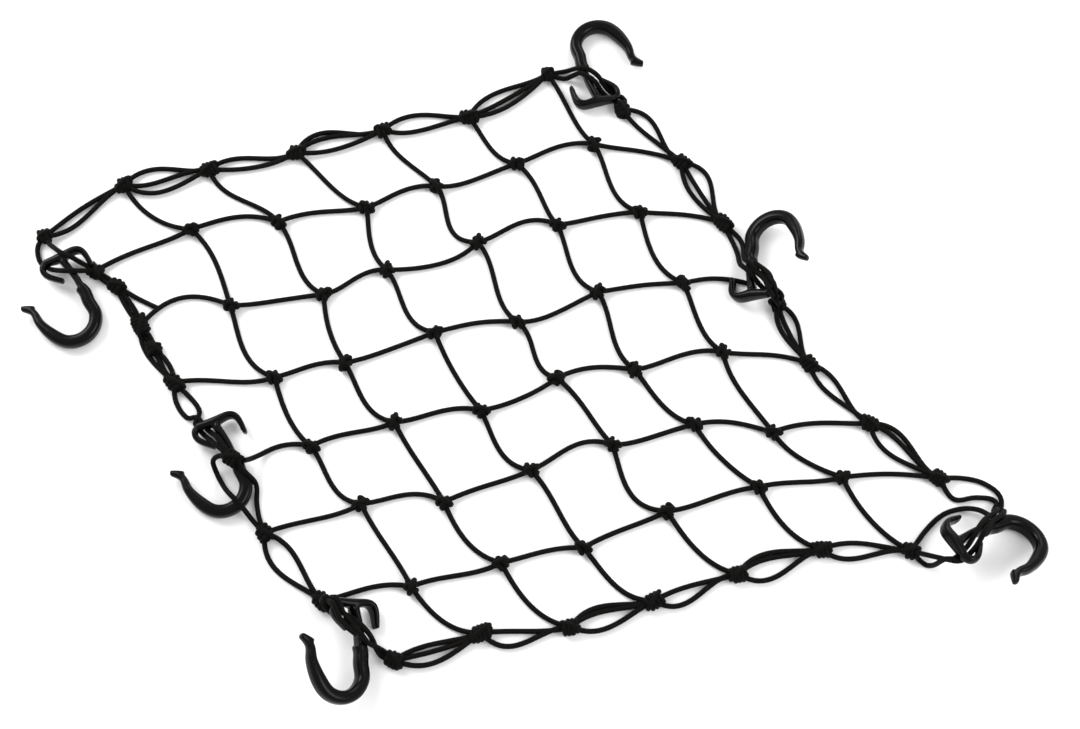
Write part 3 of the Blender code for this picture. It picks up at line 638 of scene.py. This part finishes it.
def pale_floor(stage):
    """Matt white floor with the faintest mottling."""
    finish = Finish("pale_floor")
    mottle = finish.noise(finish.object_place(), scale=3.0, detail=2.0)
    dim = tuple(channel * MOTTLE_BRIGHTNESS for channel in stage.floor)
    finish.set({"Base Color": finish.mix(mottle, rgba(stage.floor), rgba(dim)), "Roughness": 0.8})
    return finish.material


# ------------------------------------------------------------------ routes, mm
def net_knot_place(row, column):
    """Place of a knot in the mesh; row and column count from 1."""
    across = column - (COLUMNS + 1) / 2
    down = row - (ROWS + 1) / 2
    drift = KNOT_DRIFT[row - 1][column - 1]
    return Vector((
        NET_CENTRE[0] + across * ACROSS_STEP[0] + down * DOWN_STEP[0] + drift[0],
        NET_CENTRE[1] + across * ACROSS_STEP[1] + down * DOWN_STEP[1] + drift[1],
        KNOT_CENTRE_HEIGHT,
    ))


def border_place(name):
    """Place of a knot in the border."""
    if name in BESIDE:
        return Vector(BESIDE[name])
    x, y = BORDER_KNOTS[name][:2]
    return Vector((x, y, RAISED_KNOTS.get(name, KNOT_CENTRE_HEIGHT)))


def bowed_route(start, end, bows, step_length, lift=0.0):
    """Points from one knot to the next: two bows sideways, and down to the floor between.

    The sideways line is the cubic that has the bows at one third and at two thirds of the way.
    """
    chord = end - start
    left = Vector((-chord.y, chord.x, 0.0)).normalized()
    slope = 9.0 * bows[0] - 4.5 * bows[1]
    twist = 13.5 * (bows[1] - bows[0])
    steps = max(3, round(chord.xy.length / step_length))
    points = []
    for step in range(steps + 1):
        t = step / steps
        side = t * (1.0 - t) * (slope + twist * t)
        ends = abs(2.0 * t - 1.0) ** SLOPE_POWER
        point = start.lerp(end, t) + left * side
        point.z = (CORD_RADIUS + lift) * (1.0 - ends) + (point.z + lift) * ends
        points.append(point)
    return points


def joined_route(stations, bows, step_length):
    """One route through a line of knots."""
    points = [stations[0]]
    for start, end, bow in zip(stations, stations[1:], bows):
        points += bowed_route(start, end, bow, step_length)[1:]
    return points


def smooth_route(points, step_length, floor=CORD_RADIUS):
    """Points of a smooth curve through the given ones, never below the floor."""
    padded = [points[0] * 2 - points[1]] + points + [points[-1] * 2 - points[-2]]
    route = [points[0]]
    for before, start, end, after in zip(padded, padded[1:], padded[2:], padded[3:]):
        reach = (end - start).length
        steps = max(1, round(reach / step_length))
        leave = (end - before) * (reach / (end - before).length)
        arrive = (after - start) * (reach / (after - start).length)
        for step in range(1, steps + 1):
            t = step / steps
            point = (
                start * (2 * t**3 - 3 * t**2 + 1) + leave * (t**3 - 2 * t**2 + t)
                + end * (3 * t**2 - 2 * t**3) + arrive * (t**3 - t**2)
            )
            point.z = max(point.z, floor)
            route.append(point)
    return route


def floor_points(places):
    """Points of a cord that lies on the floor."""
    return [Vector((x, y, CORD_RADIUS)) for x, y in places]


def pair_routes(pair, hook_place, step_length):
    """The two cords that run through a hook, from the knot at its eye to their other end."""
    routes = []
    for index, sign in enumerate((-1.0, 1.0)):
        points = [border_place(pair.eye_knot)] + floor_points(pair.eye_side[index])
        for x, y, z in pair.entry + pair.leave:
            beside = Vector((sign * PAIR_OFFSET[0], sign * PAIR_OFFSET[1], index * STRAND_LIFT))
            points.append(hook_place @ (Vector((x, y, z)) + beside))
        points += floor_points(pair.shank_side[index])
        if pair.shank_knot:
            points.append(border_place(pair.shank_knot))
        routes.append(smooth_route(points, step_length))
    return routes


def net_routes(step_length):
    """Rows and columns of the mesh."""
    routes = []
    for row in range(1, ROWS + 1):
        start, end = (border_place(name) for name in ROW_ENDS[row - 1])
        knots = [net_knot_place(row, column) for column in range(1, COLUMNS + 1)]
        routes.append(joined_route([start, *knots, end], ROW_BOWS[row - 1], step_length))
    for column in range(1, COLUMNS + 1):
        start, end = border_place(f"far_{column}"), border_place(f"near_{column}")
        knots = [net_knot_place(row, column) for row in range(1, ROWS + 1)]
        routes.append(joined_route([start, *knots, end], COLUMN_BOWS[column - 1], step_length))
    return routes


def border_routes(step_length):
    """Strands of the border, those through the hooks among them."""
    routes = []
    for span in BORDER_SPANS:
        for index, bows in enumerate(span.bows):
            start, end = border_place(span.start), border_place(span.end)
            routes.append(bowed_route(start, end, bows, step_length, index * STRAND_LIFT))
    for pair in PAIRS:
        routes += pair_routes(pair, hook_place(HOOKS[pair.hook]), step_length)
    for points in LOOSE_ROUTES:
        routes.append(smooth_route([Vector(point) for point in points], step_length))
    return routes


# ------------------------------------------------------------------ hooks' places, mm
def bow_arc():
    """Sections of the round bow."""
    first, last, count = HOOK_BOW_SWEEP
    arc = []
    for index in range(count):
        angle = math.radians(first + (last - first) * index / (count - 1))
        x = HOOK_BOW_RADIUS * math.cos(angle)
        y = HOOK_BOW_RADIUS * math.sin(angle)
        arc.append((x, y, HOOK_BOW_WIDTH, HOOK_DEPTH))
    return tuple(arc)


def hook_stand(hook, low):
    """A hook's place: turned, rolled and pitched, its lowest point on the floor."""
    turn = Matrix.Rotation(math.radians(hook.heading), 4, "Z")
    pitch = Matrix.Rotation(math.radians(-hook.pitch), 4, "X")
    roll = Matrix.Rotation(math.radians(-hook.roll), 4, "Y")
    return Matrix.Translation((hook.x, hook.y, -low)) @ turn @ pitch @ roll


def lowest(stand):
    """Height of a hook's lowest edge."""
    heights = []
    for x, y, width, depth in BOW_TIP + bow_arc() + BOW_SHANK + BASE_BAR + SMALL_HOOK:
        corner = HOOK_CORNER * width
        low = (HOOK_DEPTH - depth) / 2
        for reach, up in ((width / 2, low + corner), (width / 2 - corner, low)):
            for quarter in range(4):
                side = Matrix.Rotation(math.radians(90.0 * quarter), 3, "Z") @ Vector((reach, 0.0, 0.0))
                heights.append((stand @ (Vector((x, y, up)) + side)).z)
    return min(heights)


def hook_place(hook):
    """Where a hook stands on the floor."""
    return hook_stand(hook, lowest(hook_stand(hook, 0.0)))


# ------------------------------------------------------------------ making pieces
def in_frame(point):
    """A point of the tables in the part's frame, metres."""
    return (point + TABLE_SHIFT) * MM


def add_piece(name, mesh, material, slot, *nodes):
    """Link a finished mesh as a piece that stands for CAD nodes."""
    mesh.name = name
    mesh.materials.append(material)
    mesh.shade_smooth()
    piece = bpy.data.objects.new(name, mesh)
    bpy.context.scene.collection.objects.link(piece)
    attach(piece, "root")
    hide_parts(*nodes)


def cord_mesh(points, radius, cord, rng):
    """A round cord along a route in mm, mapped in pitches along and turns around."""
    curve = bpy.data.curves.new("cord_route", "CURVE")
    curve.dimensions = "3D"
    curve.bevel_depth = radius * MM
    curve.bevel_resolution = cord.sides
    curve.use_fill_caps = True
    spline = curve.splines.new("POLY")
    spline.points.add(len(points) - 1)
    for target, point in zip(spline.points, points):
        target.co = (*in_frame(point), 1.0)
    route = bpy.data.objects.new("cord_route", curve)
    mesh = bpy.data.meshes.new_from_object(route)
    bpy.data.objects.remove(route)
    bpy.data.curves.remove(curve)
    length = sum((b - a).length for a, b in zip(points, points[1:])) * MM
    wrap = mesh.uv_layers[0]
    wrap.name = WRAP_MAP
    start = rng.random()
    for loop in wrap.data:
        loop.uv = (start + loop.uv.x * length / cord.braid_pitch, loop.uv.y)
    return mesh


def joined_cords(routes, radius, cord, seed):
    """One mesh of many cords."""
    rng = random.Random(seed)
    work = bmesh.new()
    for points in routes:
        mesh = cord_mesh(points, radius, cord, rng)
        work.from_mesh(mesh)
        bpy.data.meshes.remove(mesh)
    joined = bpy.data.meshes.new("cords")
    work.to_mesh(joined)
    work.free()
    return joined


def wound_knot(place, direction, size, turns, radius, rng):
    """Routes of one knot: turns wound about its axis and one turn over them, pulled aslant."""
    stray = rng.uniform(-KNOT_AIM_SPREAD, KNOT_AIM_SPREAD)
    spin = Matrix.Rotation(math.radians(direction + stray), 3, "Z")
    reach, wide, tall = (extent / 2 - radius for extent in size)
    phase = rng.uniform(0.0, 2 * math.pi)
    slant = rng.uniform(-COIL_SLANT, COIL_SLANT)
    coil = []
    steps = round(turns * COIL_STEPS)
    for step in range(steps + 1):
        t = step / steps
        angle = phase + 2 * math.pi * turns * t
        along = reach * COIL_REACH * (2 * t - 1)
        girth = 1.0 - COIL_DRAW * abs(2 * t - 1) ** COIL_DRAW_POWER
        across = wide * girth * math.cos(angle)
        coil.append(Vector((along + slant * across, across, tall * girth * math.sin(angle))))
    over = []
    lean = rng.choice((-1.0, 1.0)) * rng.uniform(*LOOP_LEAN)
    rise = tall + radius * LOOP_RISE
    for step in range(LOOP_STEPS + 1):
        angle = 2 * math.pi * (step / LOOP_STEPS - 0.25)
        along = reach * LOOP_REACH * math.cos(angle)
        over.append(Vector((along, lean * along + LOOP_SIDE, rise * math.sin(angle))))
    routes = []
    for local in (coil, over):
        route = [place + spin @ point for point in local]
        for point in route:
            point.z = max(point.z, radius)
        routes.append(route)
    return routes


def knot_mesh(knots, radius, cord, seed):
    """One mesh of knots (place, direction, size, turns), each with a filled core under its turns."""
    rng = random.Random(seed)
    routes = []
    for place, direction, size, turns in knots:
        routes += wound_knot(place, direction, size, turns, radius, rng)
    joined = joined_cords(routes, radius, cord, seed + 1)
    work = bmesh.new()
    work.from_mesh(joined)
    for place, direction, size, _ in knots:
        made = bmesh.ops.create_uvsphere(
            work, u_segments=CORE_SIDES[0], v_segments=CORE_SIDES[1], radius=1.0,
        )
        half = [(extent / 2 - radius) * MM for extent in size]
        bmesh.ops.scale(work, vec=half, verts=made["verts"])
        turn = Matrix.Rotation(math.radians(direction), 3, "Z")
        bmesh.ops.rotate(work, cent=(0.0, 0.0, 0.0), matrix=turn, verts=made["verts"])
        bmesh.ops.translate(work, vec=in_frame(place), verts=made["verts"])
    work.to_mesh(joined)
    work.free()
    return joined


def section_frame(sections, index):
    """Matrix from a unit square to one section of a limb, mm."""
    x, y, width, depth = sections[index]
    before = Vector(sections[max(index - 1, 0)][:2])
    after = Vector(sections[min(index + 1, len(sections) - 1)][:2])
    along = (after - before).normalized()
    across = Vector((-along.y, along.x, 0.0)) * width
    up = Vector((0.0, 0.0, depth))
    columns = (across, up, Vector((along.x, along.y, 0.0)), Vector((x, y, HOOK_DEPTH / 2)))
    matrix = Matrix.Identity(4)
    for column, vector in enumerate(columns):
        for row in range(3):
            matrix[row][column] = vector[row]
    return matrix


def swept_bar(work, sections, rounding):
    """One limb of a hook: a rounded section extruded along its centre line."""
    made = bmesh.ops.create_grid(work, x_segments=1, y_segments=1, size=0.5)
    made = bmesh.ops.bevel(
        work, geom=made["verts"], offset=rounding, offset_type="OFFSET", segments=CORNER_SEGMENTS,
        profile=0.5, affect="VERTICES", material=-1,
    )
    cap = made["verts"][0].link_faces[0]
    places = [section_frame(sections, index) for index in range(len(sections))]
    bmesh.ops.transform(work, matrix=places[0], verts=cap.verts)
    for before, after in zip(places, places[1:]):
        made = bmesh.ops.extrude_face_region(work, geom=[cap])
        verts = [item for item in made["geom"] if isinstance(item, bmesh.types.BMVert)]
        cap = next(item for item in made["geom"] if isinstance(item, bmesh.types.BMFace))
        bmesh.ops.transform(work, matrix=after @ before.inverted(), verts=verts)


def fine_sections(sections, step_length):
    """Sections along a smooth line through the given ones; width and depth change as evenly."""
    return [tuple(point) for point in smooth_route([Vector(s) for s in sections], step_length, 0.0)]


def melted(mesh, grid):
    """A mesh's overlapping shells as one skin, on a grid of the given size in metres."""
    item = bpy.data.objects.new("shells", mesh)
    bpy.context.scene.collection.objects.link(item)
    melt = item.modifiers.new("melt", "REMESH")
    melt.mode = "VOXEL"
    melt.voxel_size = grid
    graph = bpy.context.evaluated_depsgraph_get()
    skin = bpy.data.meshes.new_from_object(item.evaluated_get(graph))
    bpy.data.objects.remove(item)
    return skin


def hook_mesh(hook):
    """The hook in its own frame, in metres: its limbs melted into one moulding."""
    step = hook.section_step / MM
    limbs = (
        fine_sections(BOW_TIP + bow_arc() + BAR_END, step),
        fine_sections(RAIL, step),
        fine_sections(BASE_BAR + SMALL_HOOK, step),
        fine_sections(GATE_ARM, step),
        SMALL_NUB,
        TIP_FOOT,
    )
    work = bmesh.new()
    for sections in limbs:
        swept_bar(work, sections, hook.rounding)
    bmesh.ops.recalc_face_normals(work, faces=work.faces)
    bmesh.ops.scale(work, vec=(MM, MM, MM), verts=work.verts)
    mesh = bpy.data.meshes.new("hook_limbs")
    work.to_mesh(mesh)
    moulded = melted(mesh, hook.blend)
    bpy.data.meshes.remove(mesh)
    work.clear()
    work.from_mesh(moulded)
    for _ in range(hook.smoothing):
        bmesh.ops.smooth_vert(
            work, verts=work.verts, factor=0.5, use_axis_x=True, use_axis_y=True, use_axis_z=True,
        )
    place = work.verts.layers.float_vector.new(MOULD_PLACE)
    for vert in work.verts:
        vert[place] = vert.co
    work.to_mesh(moulded)
    work.free()
    return moulded


# ------------------------------------------------------------------ operators
class NET_OT_strands(bpy.types.Operator):
    """Make the rows and columns of the mesh."""

    bl_idname = "cargo_net.strands"
    bl_label = "Mesh Strands"

    def execute(self, context):
        cord = context.scene.net_cord
        mesh = joined_cords(net_routes(cord.step / MM), CORD_RADIUS, cord, STRAND_SEED)
        add_piece("net_strands", mesh, shared(braided_elastic, cord), ELASTIC_SLOT, "net_mesh")
        return {"FINISHED"}


class NET_OT_knots(bpy.types.Operator):
    """Make the wound knots of the mesh."""

    bl_idname = "cargo_net.knots"
    bl_label = "Mesh Knots"

    def execute(self, context):
        cord, knot = context.scene.net_cord, context.scene.net_knot
        size = (knot.net_length / MM, knot.width / MM, knot.height / MM)
        knots = []
        for row in range(1, ROWS + 1):
            for column in range(1, COLUMNS + 1):
                lean = KNOT_LEAN[row - 1][column - 1]
                knots.append((net_knot_place(row, column), lean, size, NET_KNOT_TURNS))
        mesh = knot_mesh(knots, CORD_RADIUS * knot.tightness, cord, KNOT_SEED)
        add_piece("net_knots", mesh, shared(braided_elastic, cord), ELASTIC_SLOT, "net_mesh")
        return {"FINISHED"}


class NET_OT_border(bpy.types.Operator):
    """Make the strands of the border and those through the hooks."""

    bl_idname = "cargo_net.border"
    bl_label = "Border Strands"

    def execute(self, context):
        cord = context.scene.net_cord
        mesh = joined_cords(border_routes(cord.step / MM), CORD_RADIUS, cord, BORDER_SEED)
        add_piece("border_strands", mesh, shared(braided_elastic, cord), ELASTIC_SLOT, "border_cord")
        return {"FINISHED"}


class NET_OT_border_knots(bpy.types.Operator):
    """Make the wound knots of the border."""

    bl_idname = "cargo_net.border_knots"
    bl_label = "Border Knots"

    def execute(self, context):
        cord, knot = context.scene.net_cord, context.scene.net_knot
        radius = CORD_RADIUS * knot.tightness
        knots = []
        for name, (_, _, direction, length) in BORDER_KNOTS.items():
            size = (length, knot.border_width / MM, knot.height / MM)
            turns = round(length / (2.0 * radius) - 1.0)
            knots.append((border_place(name), direction, size, turns))
        mesh = knot_mesh(knots, radius, cord, BORDER_KNOT_SEED)
        add_piece("border_knots", mesh, shared(braided_elastic, cord), ELASTIC_SLOT, "border_cord")
        return {"FINISHED"}


class NET_OT_hooks(bpy.types.Operator):
    """Make the moulded hooks."""

    bl_idname = "cargo_net.hooks"
    bl_label = "Hooks"

    def execute(self, context):
        settings = context.scene.net_hook
        moulded = hook_mesh(settings)
        plastic = shared(moulded_plastic, settings)
        for name, hook in HOOKS.items():
            mesh = moulded.copy()
            place = hook_place(hook)
            place.translation = in_frame(place.translation)
            mesh.transform(place)
            add_piece(name + "_moulding", mesh, plastic, PLASTIC_SLOT, name)
        bpy.data.meshes.remove(moulded)
        return {"FINISHED"}


class NET_OT_stage(bpy.types.Operator):
    """Make the floor, the light and the camera."""

    bl_idname = "cargo_net.stage"
    bl_label = "Stage"

    def execute(self, context):
        scene, stage = context.scene, context.scene.net_stage
        work = bmesh.new()
        bmesh.ops.create_grid(work, x_segments=1, y_segments=1, size=FLOOR_REACH)
        mesh = bpy.data.meshes.new("floor")
        work.to_mesh(mesh)
        work.free()
        mesh.materials.append(pale_floor(stage))
        floor = bpy.data.objects.new("floor", mesh)
        scene.collection.objects.link(floor)

        for name, place, share in SOFTBOXES:
            light = bpy.data.lights.new(name, "AREA")
            light.shape = "DISK"
            light.size = SOFTBOX_SIZE
            light.energy = stage.key_watts * share
            lamp = bpy.data.objects.new(name, light)
            lamp.location = place
            lamp.rotation_euler = (-lamp.location).to_track_quat("-Z", "Y").to_euler()
            scene.collection.objects.link(lamp)
        scene.view_settings.view_transform = "Standard"
        world = bpy.data.worlds.new("even_light")
        world.use_nodes = True
        background = world.node_tree.nodes["Background"]
        background.inputs["Color"].default_value = (1.0, 1.0, 1.0, 1.0)
        background.inputs["Strength"].default_value = stage.sky
        scene.world = world

        target = in_frame(Vector(AIM))
        back = Vector((0.0, -math.cos(stage.elevation), math.sin(stage.elevation)))
        camera = bpy.data.objects.new("camera", bpy.data.cameras.new("camera"))
        camera.data.sensor_width = SENSOR_WIDTH
        camera.data.lens = FOCAL_LENGTH
        camera.data.clip_start = NEAR_CLIP
        camera.location = target + back * stage.distance
        camera.rotation_euler = (math.pi / 2 - stage.elevation, 0.0, 0.0)
        scene.collection.objects.link(camera)
        scene.camera = camera
        return {"FINISHED"}


class NET_PT_panel(bpy.types.Panel):
    """Sidebar panel that lists the net's operators and settings."""

    bl_idname = "NET_PT_panel"
    bl_label = "Cargo Net"
    bl_space_type = "VIEW_3D"
    bl_region_type = "UI"
    bl_category = "Cargo Net"

    def draw(self, context):
        for group in SETTINGS:
            settings = getattr(context.scene, group)
            for name in settings.bl_rna.properties.keys():
                if name not in ("rna_type", "name"):
                    self.layout.prop(settings, name)
        for operator in OPERATORS:
            self.layout.operator(operator.bl_idname)


SETTINGS = {
    "net_cord": CordSettings,
    "net_knot": KnotSettings,
    "net_hook": HookSettings,
    "net_stage": StageSettings,
}
OPERATORS = (
    NET_OT_stage, NET_OT_hooks, NET_OT_strands, NET_OT_knots, NET_OT_border, NET_OT_border_knots,
)
CLASSES = (*SETTINGS.values(), *OPERATORS, NET_PT_panel)


def shared(maker, settings):
    """A material made once and used by every piece of its kind."""
    found = bpy.data.materials.get(maker.__name__)
    return found or maker(settings)


def register():
    """Register the classes and the scene's settings."""
    for item in CLASSES:
        bpy.utils.register_class(item)
    for name, group in SETTINGS.items():
        setattr(bpy.types.Scene, name, PointerProperty(type=group))


def unregister():
    """Take the settings and the classes away again."""
    for name in SETTINGS:
        delattr(bpy.types.Scene, name)
    for item in reversed(CLASSES):
        bpy.utils.unregister_class(item)


def main():
    """Build every piece in order."""
    register()
    for operator in OPERATORS:
        group, name = operator.bl_idname.split(".")
        getattr(getattr(bpy.ops, group), name)()


if __name__ == "__main__":
    main()
